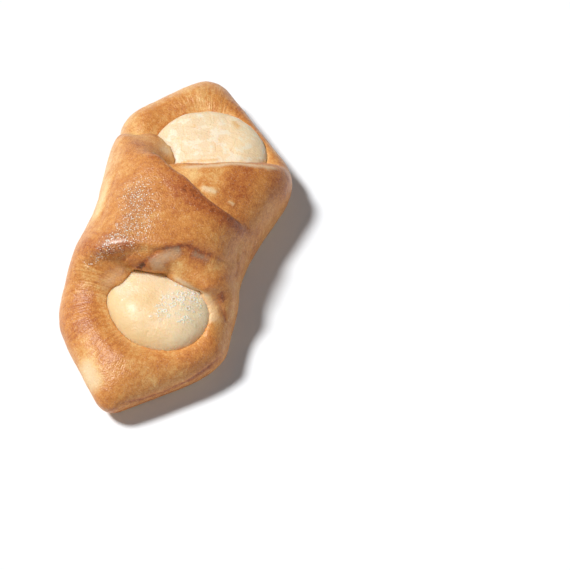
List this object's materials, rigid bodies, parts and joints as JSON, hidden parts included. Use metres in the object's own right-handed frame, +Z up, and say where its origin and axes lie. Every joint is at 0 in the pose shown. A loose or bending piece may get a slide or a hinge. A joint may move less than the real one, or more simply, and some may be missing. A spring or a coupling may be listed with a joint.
{
  "type": "cheese danish",
  "caption": "Baked sweet-dough pastry with opposite corners folded over a soft curd cheese filling, which shows at both open ends.",
  "frame": {"origin": "middle of the bounding box in plan, on the surface that the pastry rests on", "axes": "+Y along the pastry from the near tip to the far tip, +X to the side of the lower flap's fold, +Z up"},
  "size_m": [0.0594, 0.1264, 0.0306],
  "materials": {
    "crust": "satin egg-washed baked crust, golden brown, darker on the folds",
    "cheese": "baked curd cheese, pale cream, softly glossy with toasted spots"
  },
  "bodies": {
    "root": {"dough": "crust", "cheese_filling": "cheese"}
  },
  "joints": []
}
